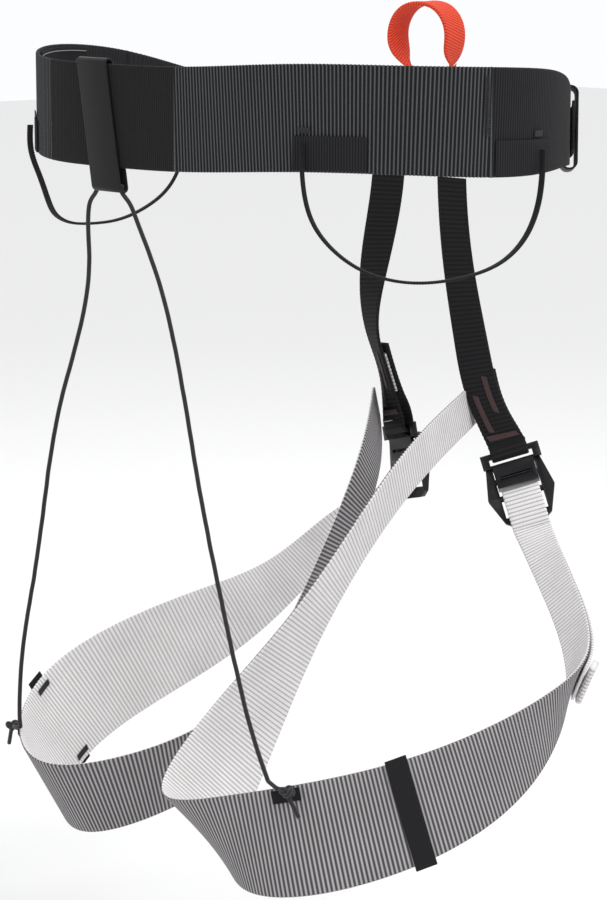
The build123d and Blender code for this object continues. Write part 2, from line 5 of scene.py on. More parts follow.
import bmesh
import bpy
import numpy as np
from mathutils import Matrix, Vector


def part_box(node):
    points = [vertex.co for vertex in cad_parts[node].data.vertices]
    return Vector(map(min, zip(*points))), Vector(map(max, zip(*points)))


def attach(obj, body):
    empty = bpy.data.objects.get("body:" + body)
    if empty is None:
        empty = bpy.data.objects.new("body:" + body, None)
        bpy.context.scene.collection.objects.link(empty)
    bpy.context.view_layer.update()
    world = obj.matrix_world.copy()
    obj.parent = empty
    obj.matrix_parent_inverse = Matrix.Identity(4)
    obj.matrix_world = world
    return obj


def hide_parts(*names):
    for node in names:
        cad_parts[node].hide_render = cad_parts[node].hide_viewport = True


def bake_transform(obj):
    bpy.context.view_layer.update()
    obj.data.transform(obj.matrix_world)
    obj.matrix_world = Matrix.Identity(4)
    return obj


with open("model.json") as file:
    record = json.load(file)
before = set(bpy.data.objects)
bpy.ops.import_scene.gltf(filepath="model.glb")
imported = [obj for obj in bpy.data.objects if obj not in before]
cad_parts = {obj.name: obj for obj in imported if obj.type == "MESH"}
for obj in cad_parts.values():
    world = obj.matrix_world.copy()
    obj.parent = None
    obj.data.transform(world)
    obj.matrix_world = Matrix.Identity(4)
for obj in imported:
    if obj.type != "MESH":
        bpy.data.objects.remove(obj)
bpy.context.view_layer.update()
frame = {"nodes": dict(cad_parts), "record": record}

# A light climbing harness, in metres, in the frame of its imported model. Each strap is woven
# afresh between the long edges of its solid; metal parts are bevelled copies of theirs.

MM = 0.001
SIDES = ("right", "left")


# ---- reading the long edges of a strap's solid ----
def faces_of(node):
    """The model's own faces on a node: each a set of its border edges, as pairs of places."""
    bm = bmesh.new()
    bm.from_mesh(frame["nodes"][node].data)
    seen = set()
    borders = []
    for first in bm.verts:
        if first in seen:
            continue
        stack = [first]
        seen.add(first)
        border = set()
        while stack:
            vert = stack.pop()
            for edge in vert.link_edges:
                other = edge.other_vert(vert)
                if len(edge.link_faces) == 1:
                    border.add(frozenset(tuple(round(c, 7) for c in v.co) for v in edge.verts))
                if other not in seen:
                    seen.add(other)
                    stack.append(other)
        borders.append(border)
    bm.free()
    return borders


def walk(edges):
    """The points of an open chain of edges, in order."""
    links = {}
    for a, b in (tuple(edge) for edge in edges if len(edge) == 2):
        links.setdefault(a, []).append(b)
        links.setdefault(b, []).append(a)
    ends = [place for place, others in links.items() if len(others) == 1]
    points = [ends[0]]
    last = None
    while True:
        onward = [place for place in links[points[-1]] if place != last]
        if not onward or len(points) > len(links):
            break
        last = points[-1]
        points.append(onward[0])
    return points


def edge_lines(node):
    """For each solid of a node, its lines between two faces, by the corner that they leave."""
    borders = faces_of(node)
    solids = []
    for i, border in enumerate(borders):
        for j in range(i):
            common = border & borders[j]
            if not common:
                continue
            line = walk(common)
            homes = [s for s in solids if line[0] in s or line[-1] in s]
            home = {}
            for other in homes:
                solids.remove(other)
                for corner, lines in other.items():
                    home.setdefault(corner, []).extend(lines)
            home.setdefault(line[0], []).append(np.array(line))
            home.setdefault(line[-1], []).append(np.array(line[::-1]))
            solids.append(home)
    return solids


def leaving(solid, corner):
    """The lines that leave a corner, shortest first: through the strap, across it, along it."""
    return sorted(solid[corner], key=length_of)


def resample(points, count):
    steps = np.linalg.norm(np.diff(points, axis=0), axis=1)
    along = np.concatenate([[0.0], np.cumsum(steps)])
    wanted = np.linspace(0, along[-1], count)
    return np.stack([np.interp(wanted, along, points[:, k]) for k in range(3)], axis=1)


def length_of(points):
    return float(np.linalg.norm(np.diff(points, axis=0), axis=1).sum())


def smooth(points, reach):
    """A Gaussian average over `reach` metres each way that keeps both ends in place."""
    step = length_of(points) / (len(points) - 1)
    width = int(3 * reach / step)
    if width < 1:
        return points
    weights = np.exp(-0.5 * (np.arange(-width, width + 1) * step / reach) ** 2)
    weights /= weights.sum()
    head = 2 * points[0] - points[width:0:-1]
    tail = 2 * points[-1] - points[-2:-width - 2:-1]
    padded = np.concatenate([head, points, tail])
    return np.stack([np.convolve(padded[:, k], weights, "valid") for k in range(3)], axis=1)


def straps(node, reach=1.0 * MM, count=700):
    """The two long edges and the thickness of every strap in a node."""
    found = []
    for solid in edge_lines(node):
        start = min(solid)
        through, over, rail = leaving(solid, start)
        rails = [rail]
        for line in (through, over):
            rails.append(leaving(solid, tuple(line[-1]))[2])
        far = leaving(solid, tuple(over[-1]))[0]
        rails.append(leaving(solid, tuple(far[-1]))[2])
        rails = [resample(r, count) for r in rails]
        first = smooth((rails[0] + rails[1]) / 2, reach)
        second = smooth((rails[2] + rails[3]) / 2, reach)
        found.append((first, second, length_of(through)))
    return found


def square_up(first, second, window):
    """Pairs the two edges again, straight across the strap's middle line."""
    count = len(first)
    places = np.arange(count)
    edges = [first, second]
    for turn in range(2):
        middle = (edges[0] + edges[1]) / 2
        forward = np.gradient(middle, axis=0)
        forward /= np.linalg.norm(forward, axis=1)[:, None]
        matched = []
        for edge in (first, second):
            hits = np.empty(count)
            for i in places:
                low = max(0, i - window)
                high = min(count, i + window + 1)
                ahead = (edge[low:high] - middle[i]) @ forward[i]
                crossing = np.nonzero((ahead[:-1] <= 0) & (ahead[1:] > 0))[0]
                if len(crossing):
                    k = crossing[np.argmin(abs(crossing + low - i))]
                    hits[i] = low + k + ahead[k] / (ahead[k] - ahead[k + 1])
                else:
                    hits[i] = low + np.argmin(abs(ahead))
            hits[0] = 0
            hits[-1] = count - 1
            hits = np.maximum.accumulate(hits)
            matched.append(np.stack([np.interp(hits, places, edge[:, k]) for k in range(3)], axis=1))
        edges = matched
    return edges


# ---- building pieces ----
def add_piece(name, verts, faces, uvs, shades, body, materials):
    mesh = bpy.data.meshes.new(name)
    mesh.from_pydata(verts.tolist(), [], faces)
    layer = mesh.uv_layers.new(name="UVMap")
    layer.data.foreach_set("uv", np.asarray(uvs, dtype=np.float32).ravel())
    for material in materials:
        mesh.materials.append(material)
    mesh.polygons.foreach_set("material_index", shades)
    mesh.polygons.foreach_set("use_smooth", [True] * len(faces))
    mesh.update()
    mesh.validate()
    piece = bpy.data.objects.new(name, mesh)
    bpy.context.scene.collection.objects.link(piece)
    if body:
        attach(piece, body)
    return piece


def ribbon_grid(first, second, thick, outward, pitch, depth, across, extend, span):
    """A closed woven strip between two edges, with a rib every `pitch` metres.

    `outward` gives the direction of its outer face at a point, `extend` lengthens its two ends
    (or trims them, below zero) and `span` keeps only a share of its length."""
    middle = (first + second) / 2
    along = np.concatenate([[0.0], np.cumsum(np.linalg.norm(np.diff(middle, axis=0), axis=1))])
    total = along[-1]
    start = span[0] * total - (extend[0] if span[0] == 0 else 0)
    end = span[1] * total + (extend[1] if span[1] == 1 else 0)
    count = max(4, int(round((end - start) / pitch * 4)) + 1)
    wanted = np.linspace(start, end, count)

    def at(points):
        result = np.stack([np.interp(wanted, along, points[:, k]) for k in range(3)], axis=1)
        head = (points[1] - points[0]) / (along[1] - along[0])
        tail = (points[-1] - points[-2]) / (along[-1] - along[-2])
        result += np.minimum(wanted, 0)[:, None] * head
        result += np.maximum(wanted - total, 0)[:, None] * tail
        return result

    a = at(first)
    b = at(second)
    centre = (a + b) / 2
    cross = b - a
    width = np.linalg.norm(cross, axis=1)
    forward = np.gradient(centre, axis=0)
    normal = np.cross(forward, cross)
    normal /= np.linalg.norm(normal, axis=1)[:, None]
    half = count // 2
    if float(np.dot(normal[half], outward(centre[half]))) < 0:
        normal = -normal
    edge = min(0.45, thick / float(width.mean()))
    shares = np.linspace(-(1 - edge), 1 - edge, across)
    ring = [(u, 1.0) for u in shares] + [(1 - 0.3 * edge, 0.72), (1.0, 0.0), (1 - 0.3 * edge, -0.72)]
    ring += [(u, -1.0) for u in shares[::-1]] + [(-1 + 0.3 * edge, -0.72), (-1.0, 0.0), (-1 + 0.3 * edge, 0.72)]
    wave = np.cos(2 * math.pi * wanted / pitch)
    verts = []
    for u, h in ring:
        height = h * (thick / 2 - depth / 2 + depth / 2 * wave)
        spread = u * (width / 2 - (depth * (1 - wave) if abs(u) > 0.999 else 0))
        verts.append(centre + cross / width[:, None] * spread[:, None] + normal * height[:, None])
    verts = np.stack(verts, axis=1)
    size = len(ring)
    flat = verts.reshape(-1, 3)
    run = wanted / MM
    lift = np.array([(u + 1) / 2 for u, h in ring]) * float(width.mean()) / MM
    faces = []
    uvs = []
    shades = []
    for j in range(size):
        k = (j + 1) % size
        shade = 0 if ring[j][1] + ring[k][1] > -0.01 else 1
        for i in range(count - 1):
            faces.append([i * size + j, i * size + k, (i + 1) * size + k, (i + 1) * size + j])
            uvs.append([(run[i], lift[j]), (run[i], lift[k]), (run[i + 1], lift[k]), (run[i + 1], lift[j])])
            shades.append(shade)
    corners = flat[np.array(faces)]
    flux = np.einsum("ij,ij->i", corners.mean(axis=1), np.cross(corners[:, 2] - corners[:, 0],
                                                                 corners[:, 3] - corners[:, 1]))
    if flux.sum() < 0:
        faces = [face[::-1] for face in faces]
        uvs = [uv[::-1] for uv in uvs]
    flat_uvs = [pair for uv in uvs for pair in uv]
    for i, flip in ((0, flux.sum() >= 0), (count - 1, flux.sum() < 0)):
        cap = [i * size + j for j in range(size)]
        cap_uv = [(run[i], lift[j]) for j in range(size)]
        faces.append(cap[::-1] if flip else cap)
        flat_uvs.extend(cap_uv[::-1] if flip else cap_uv)
        shades.append(0)
    return flat, faces, flat_uvs, shades


def woven(node, body, materials, outward, pitch=1.6, depth=0.12, across=12, reach=1.0, extend=0.3,
          square=0, span=(0, 1), name=None, hide=True):
    """Replaces a node's straps with woven ones; distances here are in mm."""
    ends = np.array(extend if isinstance(extend, tuple) else (extend, extend)) * MM
    verts = []
    faces = []
    uvs = []
    shades = []
    for first, second, thick in straps(node, reach * MM):
        if square:
            first, second = square_up(first, second, square)
        part = ribbon_grid(first, second, thick, outward, pitch * MM, depth * MM, across, ends, span)
        offset = sum(len(v) for v in verts)
        verts.append(part[0])
        faces.extend([[i + offset for i in face] for face in part[1]])
        uvs.extend(part[2])
        shades.extend(part[3])
    piece = add_piece(name or node + "_woven", np.concatenate(verts), faces, uvs, shades, body,
                      materials)
    if hide:
        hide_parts(node)
    return piece


def tube(points, radius, sides=8):
    """A closed round tube through points, with its uvs in mm."""
    points = np.asarray(points, float)
    forward = np.gradient(points, axis=0)
    forward /= np.linalg.norm(forward, axis=1)[:, None]
    guide = np.cross(forward[0], [0.31, 0.52, 0.79])
    rings = []
    for i in range(len(points)):
        guide = guide - forward[i] * np.dot(guide, forward[i])
        guide = guide / np.linalg.norm(guide)
        other = np.cross(forward[i], guide)
        turn = np.arange(sides) * 2 * math.pi / sides
        rings.append(points[i] + radius * (np.outer(np.cos(turn), guide) + np.outer(np.sin(turn), other)))
    verts = np.concatenate(rings)
    along = np.concatenate([[0.0], np.cumsum(np.linalg.norm(np.diff(points, axis=0), axis=1))]) / MM
    faces = []
    uvs = []
    for i in range(len(points) - 1):
        for j in range(sides):
            k = (j + 1) % sides
            faces.append([i * sides + j, i * sides + k, (i + 1) * sides + k, (i + 1) * sides + j])
            uvs.extend([(along[i], j), (along[i], j + 1), (along[i + 1], j + 1), (along[i + 1], j)])
    last = (len(points) - 1) * sides
    faces.append(list(range(sides))[::-1])
    uvs.extend([(0.0, j) for j in range(sides)])
    faces.append([last + j for j in range(sides)])
    uvs.extend([(along[-1], j) for j in range(sides)])
    return verts, faces, uvs


def tubes(name, paths, radius, body, material, sides=8):
    verts = []
    faces = []
    uvs = []
    for path in paths:
        part = tube(path, radius, sides)
        offset = sum(len(v) for v in verts)
        verts.append(part[0])
        faces.extend([[i + offset for i in face] for face in part[1]])
        uvs.extend(part[2])
    return add_piece(name, np.concatenate(verts), faces, uvs, [0] * len(faces), body, [material])


def satin(first, second, step):
    """A bar tack's stitches: short threads side by side, slanting across their patch."""
    count = max(4, int(length_of((first + second) / 2) / step))
    a = resample(first, count)
    b = resample(second, count)
    stitches = []
    for i in range(count - 1):
        shares = np.linspace(0.04, 0.96, 5)[:, None]
        stitches.append(a[i] * (1 - shares) + b[i + 1] * shares)
    return stitches


def stitched(node, body, material, step=0.55, radius=0.28):
    """Replaces a node's stitch patches with thread; distances here are in mm."""
    paths = []
    for first, second, thick in straps(node, 0.2 * MM, 200):
        paths.extend(satin(first, second, step * MM))
    piece = tubes(node + "_thread", paths, radius * MM, body, material, 6)
    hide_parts(node)
    return piece


def bevelled(node, body, material, width=0.3, segments=3, widen=1.0, axis=None):
    """Replaces a node with a copy whose edges are rounded; the width is in mm. The copy can be
    widened along an axis."""
    bm = bmesh.new()
    bm.from_mesh(frame["nodes"][node].data)
    bmesh.ops.remove_doubles(bm, verts=bm.verts, dist=2e-6)
    bmesh.ops.dissolve_limit(bm, angle_limit=math.radians(1.0), verts=bm.verts, edges=bm.edges)
    if axis is not None:
        along = Vector(axis).normalized()
        centre = Vector(node_centre(node))
        for vert in bm.verts:
            vert.co += along * (vert.co - centre).dot(along) * (widen - 1)
    mesh = bpy.data.meshes.new(node + "_rounded")
    bm.to_mesh(mesh)
    bm.free()
    mesh.materials.clear()
    mesh.materials.append(material)
    mesh.polygons.foreach_set("material_index", [0] * len(mesh.polygons))
    mesh.polygons.foreach_set("use_smooth", [True] * len(mesh.polygons))
    piece = bpy.data.objects.new(node + "_rounded", mesh)
    bpy.context.scene.collection.objects.link(piece)
    bevel = piece.modifiers.new("rounded_edges", "BEVEL")
    bevel.width = width * MM
    bevel.segments = segments
    bevel.limit_method = "ANGLE"
    bevel.angle_limit = math.radians(35)
    bevel.harden_normals = True
    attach(piece, body)
    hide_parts(node)
    return piece


# ---- materials ----
class Shader:
    """A small helper that wires a procedural material."""

    def __init__(self, name):
        self.material = bpy.data.materials.new(name)
        self.material.use_nodes = True
        self.tree = self.material.node_tree
        self.surface = self.tree.nodes["Principled BSDF"]

    def put(self, socket, value):
        if isinstance(value, bpy.types.NodeSocket):
            self.tree.links.new(value, socket)
        else:
            socket.default_value = value

    def math(self, operation, a, b=0.0):
        node = self.tree.nodes.new("ShaderNodeMath")
        node.operation = operation
        self.put(node.inputs[0], a)
        self.put(node.inputs[1], b)
        return node.outputs[0]

    def ramp(self, value, low, high, start=0.0, end=1.0):
        node = self.tree.nodes.new("ShaderNodeMapRange")
        node.interpolation_type = "SMOOTHSTEP"
        self.put(node.inputs["Value"], value)
        node.inputs["From Min"].default_value = low
        node.inputs["From Max"].default_value = high
        node.inputs["To Min"].default_value = start
        node.inputs["To Max"].default_value = end
        return node.outputs[0]

    def mix(self, share, a, b):
        node = self.tree.nodes.new("ShaderNodeMix")
        node.data_type = "RGBA"
        self.put(node.inputs[0], share)
        self.put(node.inputs[6], (*a, 1) if isinstance(a, tuple) else a)
        self.put(node.inputs[7], (*b, 1) if isinstance(b, tuple) else b)
        return node.outputs[2]

    def uv(self):
        node = self.tree.nodes.new("ShaderNodeUVMap")
        node.uv_map = "UVMap"
        split = self.tree.nodes.new("ShaderNodeSeparateXYZ")
        self.tree.links.new(node.outputs[0], split.inputs[0])
        return split.outputs[0], split.outputs[1]

    def wave(self, value, period, shift=0.0):
        """A cosine between 0 and 1, one at every multiple of the period."""
        turn = self.math("ADD", self.math("MULTIPLY", value, 2 * math.pi / period), shift)
        return self.math("ADD", self.math("MULTIPLY", self.math("COSINE", turn), 0.5), 0.5)

    def noise(self, scale, detail=3.0, coordinates=None):
        node = self.tree.nodes.new("ShaderNodeTexNoise")
        node.inputs["Scale"].default_value = scale
        node.inputs["Detail"].default_value = detail
        if coordinates is None:
            place = self.tree.nodes.new("ShaderNodeTexCoord")
            coordinates = place.outputs["Object"]
        self.tree.links.new(coordinates, node.inputs["Vector"])
        return node.outputs[0]

    def finish(self, colour, roughness, height=None, distance=0.1 * MM, strength=0.6, sheen=0.0, metal=0.0):
        self.put(self.surface.inputs["Base Color"], (*colour, 1) if isinstance(colour, tuple) else colour)
        self.put(self.surface.inputs["Roughness"], roughness)
        self.surface.inputs["Metallic"].default_value = metal
        self.surface.inputs["Sheen Weight"].default_value = sheen
        self.surface.inputs["Sheen Roughness"].default_value = 0.5
        self.surface.inputs["Specular IOR Level"].default_value = 0.5 if metal else 0.25
        if height is not None:
            bump = self.tree.nodes.new("ShaderNodeBump")
            bump.inputs["Strength"].default_value = strength
            bump.inputs["Distance"].default_value = distance
            self.tree.links.new(height, bump.inputs["Height"])
            self.tree.links.new(bump.outputs[0], self.surface.inputs["Normal"])
        return self.material


def webbing(name, ridge_and_highlight, groove_and_shade, pitch, yarn=0.9, spread=(0.15, 0.75), sheen=0.03, roughness=0.8, every=1):
    """Woven webbing: ribs across it every `pitch` mm, crossed by yarns `yarn` mm apart.

    `ridge_and_highlight` and `groove_and_shade` are the colours of the rib crests and of the grooves: the webbing's own
    tones, with painted highlight on the crests and painted shade in the grooves. `every` is how many ribs apart the
    light ones are."""
    s = Shader(name)
    along, across = s.uv()
    rib = s.wave(along, pitch)
    colour_rib = s.wave(along, pitch * every)
    yarns = s.wave(s.math("ADD", across, s.math("MULTIPLY", s.math("FLOOR", s.math("DIVIDE", along, pitch)), yarn / 2)),
                   yarn)
    fuzz = s.noise(2600.0)
    patches = s.noise(45.0, 2.0)
    # The colour follows the ribs' wave: the webbing's own tones, with painted highlight on the rib crests and painted
    # shade in the grooves.
    tone = s.ramp(colour_rib, spread[0], spread[1])
    tone = s.math("MULTIPLY", tone, s.math("ADD", s.math("MULTIPLY", yarns, 0.45), 0.55))
    colour = s.mix(tone, groove_and_shade, ridge_and_highlight)
    shade = s.math("ADD", s.math("MULTIPLY", fuzz, 0.45), 0.78)
    shade = s.math("MULTIPLY", shade, s.math("ADD", s.math("MULTIPLY", patches, 0.24), 0.88))
    grey = s.tree.nodes.new("ShaderNodeHueSaturation")
    s.put(grey.inputs["Color"], colour)
    s.put(grey.inputs["Value"], shade)
    height = s.math("ADD", s.math("MULTIPLY", s.math("MULTIPLY", rib, yarns), 0.8), s.math("MULTIPLY", fuzz, 0.3))
    rough = s.math("ADD", s.math("MULTIPLY", fuzz, 0.2), roughness - 0.1)
    return s.finish(grey.outputs[0], rough, height, 0.16 * MM, 0.8, sheen)


def thread(name, colour, dark):
    s = Shader(name)
    along, across = s.uv()
    ply = s.wave(s.math("ADD", along, s.math("MULTIPLY", across, 0.12)), 0.45)
    return s.finish(s.mix(ply, dark, colour), 0.6, ply, 0.06 * MM, 0.7, 0.15)


def braid(name, colour, light):
    """A braided sheath: two sets of yarns wound opposite ways."""
    s = Shader(name)
    along, across = s.uv()
    one = s.wave(s.math("ADD", along, s.math("MULTIPLY", across, 0.5)), 1.0)
    two = s.wave(s.math("SUBTRACT", along, s.math("MULTIPLY", across, 0.5)), 1.0)
    weave = s.math("MAXIMUM", one, two)
    fuzz = s.noise(3000.0)
    tone = s.math("MULTIPLY", weave, s.math("ADD", s.math("MULTIPLY", fuzz, 0.6), 0.5))
    return s.finish(s.mix(tone, colour, light), 0.7, weave, 0.12 * MM, 0.8, 0.2)


def tape(name, colour, light, scale=1.0):
    """A fine twill tape, woven without uvs so that it suits any copied shape."""
    s = Shader(name)
    place = s.tree.nodes.new("ShaderNodeTexCoord")
    split = s.tree.nodes.new("ShaderNodeSeparateXYZ")
    s.tree.links.new(place.outputs["Object"], split.inputs[0])
    x, y, z = split.outputs
    flat = s.math("ADD", s.math("MULTIPLY", x, 0.75), s.math("MULTIPLY", y, 0.66))
    one = s.wave(s.math("ADD", flat, z), 0.0009 * scale)
    two = s.wave(z, 0.0006 * scale)
    fuzz = s.noise(2400.0)
    weave = s.math("MULTIPLY", one, two)
    colour_mix = s.mix(s.math("MULTIPLY", weave, s.math("ADD", fuzz, 0.2)), colour, light)
    height = s.math("ADD", weave, s.math("MULTIPLY", fuzz, 0.3))
    return s.finish(colour_mix, 0.68, height, 0.08 * MM, 0.6, 0.15)


def black_metal():
    """Satin black anodised metal, with a painted highlight: a little lighter along its edges, in patches."""
    s = Shader("black_metal_satin")
    geometry = s.tree.nodes.new("ShaderNodeNewGeometry")
    edge = s.ramp(geometry.outputs["Pointiness"], 0.505, 0.56)
    grain = s.noise(900.0, 5.0)
    smudge = s.noise(60.0, 3.0)
    # Painted highlight: lighter grey along the convex edges, broken up in patches by the smudge noise.
    edge_highlight = s.math("MULTIPLY", edge, s.ramp(smudge, 0.35, 0.65))
    colour = s.mix(s.math("MULTIPLY", edge_highlight, 0.5), (0.006, 0.006, 0.007), (0.06, 0.06, 0.066))
    rough = s.math("ADD", s.math("MULTIPLY", grain, 0.12), s.math("ADD", s.math("MULTIPLY", smudge, 0.12), 0.24))
    return s.finish(colour, rough, grain, 0.02 * MM, 0.25, 0.0, 0.55)


HIP_PITCH = 1.9
BACK_PITCH = 1.25
LEG_PITCH = 2.1
RISER_PITCH = 2.4
FRONT_PITCH = 1.4
STRAP_PITCH = 2.7
BLACK = (0.003, 0.003, 0.0035)
SOFT_BLACK = (0.0115, 0.0112, 0.013)
# Each webbing below has a rib crest colour and a groove colour: its own tones, with painted highlight on the crests and
# painted shade in the grooves.
hip_cloth = webbing("hip_webbing", (0.100, 0.106, 0.112), (0.003, 0.003, 0.0035), HIP_PITCH, 1.15, (0.45, 0.95))
back_cloth = webbing("back_webbing", SOFT_BLACK, BLACK, BACK_PITCH, 1.0)
front_cloth = webbing("front_webbing", (0.022, 0.022, 0.025), (0.003, 0.003, 0.004), FRONT_PITCH, 1.0, (0.3, 0.85))
inner_cloth = webbing("belt_lining", (0.020, 0.018, 0.020), (0.010, 0.009, 0.011), 1.5, 0.8)
leg_outer = webbing("leg_webbing_outer", (0.50, 0.485, 0.495), (0.070, 0.064, 0.068), LEG_PITCH, 0.8, (0.25, 0.9))
leg_inner = webbing("leg_webbing_inner", (0.90, 0.88, 0.88), (0.42, 0.40, 0.41), LEG_PITCH, 0.8, (0.02, 0.45))
black_cloth = webbing("black_webbing", SOFT_BLACK, BLACK, RISER_PITCH, 0.9)
red_cloth = webbing("belay_webbing", (0.95, 0.105, 0.042), (0.52, 0.028, 0.012), 1.5, 0.85, (0.05, 0.6))
red_thread = thread("belay_thread", (0.80, 0.10, 0.04), (0.38, 0.02, 0.008))
brown_thread = thread("brown_thread", (0.088, 0.047, 0.050), (0.040, 0.020, 0.022))
black_thread = thread("black_thread", (0.035, 0.035, 0.04), (0.008, 0.008, 0.009))
edge_thread = thread("edge_thread", (0.060, 0.056, 0.060), (0.022, 0.020, 0.022))
light_thread = thread("light_thread", (0.42, 0.40, 0.42), (0.20, 0.19, 0.20))
cord_sheath = braid("elastic_cord_sheath", (0.004, 0.004, 0.005), (0.028, 0.027, 0.031))
fine_cloth = webbing("fine_tape_cloth", (0.014, 0.014, 0.016), (0.004, 0.004, 0.005), 0.9, 0.7)
fine_tape = tape("fine_black_tape", (0.0035, 0.0035, 0.004), (0.012, 0.012, 0.014))
metal = black_metal()


# ---- directions that tell a strap's outer face ----
def from_axis(point):
    """Away from the middle of the belt."""
    return np.array([point[0], point[1], 0.0])


def from_leg(side):
    low, high = (np.array(corner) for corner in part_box(f"leg_loop_{side}"))
    centre = (low + high) / 2
    return lambda point: point - centre


def node_centre(node):
    low, high = (np.array(corner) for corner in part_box(node))
    return (low + high) / 2


def away_from(node):
    centre = node_centre(node)
    return lambda point: point - centre


# ---- waist belt ----
def belt():
    for side in SIDES:
        woven(f"belt_hip_{side}", "waist", [hip_cloth, inner_cloth], from_axis, HIP_PITCH, 0.2, 24, 2.5, 0.2, 30)
        woven(f"belt_front_{side}", "waist", [front_cloth, inner_cloth], from_axis, FRONT_PITCH, 0.12, 24, 2.5, 0.2,
              30)
    woven("belt_back", "waist", [back_cloth, inner_cloth], from_axis, BACK_PITCH, 0.1, 24, 2.5, 0.2, 30)
    woven("inner_label", "waist", [fine_cloth, fine_cloth], from_axis, 0.9, 0.06, 20, 1.5, 0.0)
    woven("ice_clipper_sleeves", "waist", [front_cloth, front_cloth], from_axis, 1.5, 0.12, 12, 1.5, 0.0)
    stitched("hip_stitching", "waist", black_thread, 0.9, 0.22)
    stitched("gear_loop_bartacks", "waist", black_thread, 0.5, 0.25)
    bevelled("rear_tab", "waist", fine_tape, 0.25, 2)


def tab_edging():
    """A fine line of thread down the outer face of the rear tab, near each of its edges."""
    bm = bmesh.new()
    bm.from_mesh(frame["nodes"]["rear_tab"].data)
    points = np.array([v.co[:] for v in bm.verts])
    bm.free()
    centre = points.mean(axis=0)
    out = np.array([centre[0], centre[1], 0.0])
    out /= np.linalg.norm(out)
    sideways = np.cross(out, [0, 0, 1.0])
    face = points[(points - centre) @ out > ((points - centre) @ out).max() * 0.6]
    lines = []
    for way in (-1, 1):
        paths_side = face[face[:, 2] > np.quantile(face[:, 2], 0.5)]
        top = paths_side[np.argmax((paths_side - centre) @ sideways * way)]
        low_side = face[face[:, 2] <= np.quantile(face[:, 2], 0.5)]
        foot = low_side[np.argmax((low_side - centre) @ sideways * way)]
        inward = -sideways * way * 0.8 * MM
        lines.append(np.linspace(top + inward + out * 0.1 * MM, foot + inward + out * 0.1 * MM, 40))
    tubes("rear_tab_edging", lines, 0.16 * MM, "waist", edge_thread, 6)


def label_edging():
    """The light line of stitching round the label inside the belt."""
    first, second, thick = straps("inner_label", 1.5 * MM)[0]
    out = np.cross(np.gradient(first, axis=0), second - first)
    out /= np.linalg.norm(out, axis=1)[:, None]
    middle = len(first) // 2
    if np.dot(out[middle], from_axis(first[middle])) > 0:
        out = -out
    lift = out * (thick / 2 + 0.12 * MM)
    paths = [first * 0.95 + second * 0.05 + lift, first * 0.05 + second * 0.95 + lift]
    tubes("inner_label_edging", [p[8:-8] for p in paths], 0.2 * MM, "waist", light_thread, 6)


def closure():
    bevelled("waist_buckle_frame", "waist", metal, 0.45)
    bevelled("waist_buckle_slider", "waist", metal, 0.3)
    woven("waist_fold", "waist", [black_cloth, black_cloth], away_from("waist_buckle_frame"), 1.5, 0.1, 14, 0.35, 0)
    woven("waist_strap", "waist", [black_cloth, black_cloth], away_from("waist_buckle_slider"), 1.5, 0.1, 14, 0.35, 0)
    bevelled("waist_strap_keeper", "waist", fine_tape, 0.25, 2)


# ---- tie-in and belay loops ----
def loops():
    woven("tie_in_loop", "waist", [black_cloth, black_cloth], from_axis, 1.5, 0.15, 10, 0.8, 0)
    stitched("tie_in_bartacks", "waist", black_thread)
    woven("belay_loop", "belay", [red_cloth, red_cloth], away_from("belay_loop"), 1.5, 0.14, 14, 0.8, 0.45)
    stitched("belay_bartacks", "belay", red_thread, 0.7, 0.25)


# ---- gear loops ----
def gear_loops():
    for side in SIDES:
        woven(f"gear_loop_{side}", f"{side}_gear_loop", [fine_cloth, fine_cloth], away_from(f"gear_loop_{side}"),
              1.3, 0.14, 6, 0.8, 0.0)


# ---- legs ----
STRAP_JOIN = 26.0                # mm of the leg loop's end that follow the buckle
STRAP_LAP = 0.3                  # mm that it runs into the turn round the buckle's bar
UNDER_RISER = {"right": 5.0, "left": -4.5}   # mm from the solid's end to where the riser hides it


def risers(side):
    body = f"{side}_leg"
    outward = away_from(f"leg_loop_{side}")
    woven(f"riser_anchor_{side}", "waist", [black_cloth, black_cloth], outward, RISER_PITCH, 0.14, 14, 1.5, 0.6)
    riser = woven(f"riser_{side}", None, [black_cloth, black_cloth], outward, RISER_PITCH, 0.14, 14, 1.5, 0.6)
    x, y, z = node_centre(f"riser_{side}")
    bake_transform(riser)
    woven(f"riser_return_{side}", body, [black_cloth, black_cloth], outward, RISER_PITCH, 0.14, 14, 0.4, 0.0)
    stitched(f"riser_bartacks_{side}", body, brown_thread, 0.5, 0.26)
    woven(f"leg_end_{side}", body, [leg_inner, leg_inner], outward, LEG_PITCH, 0.1, 12, 1.0, 0.0)


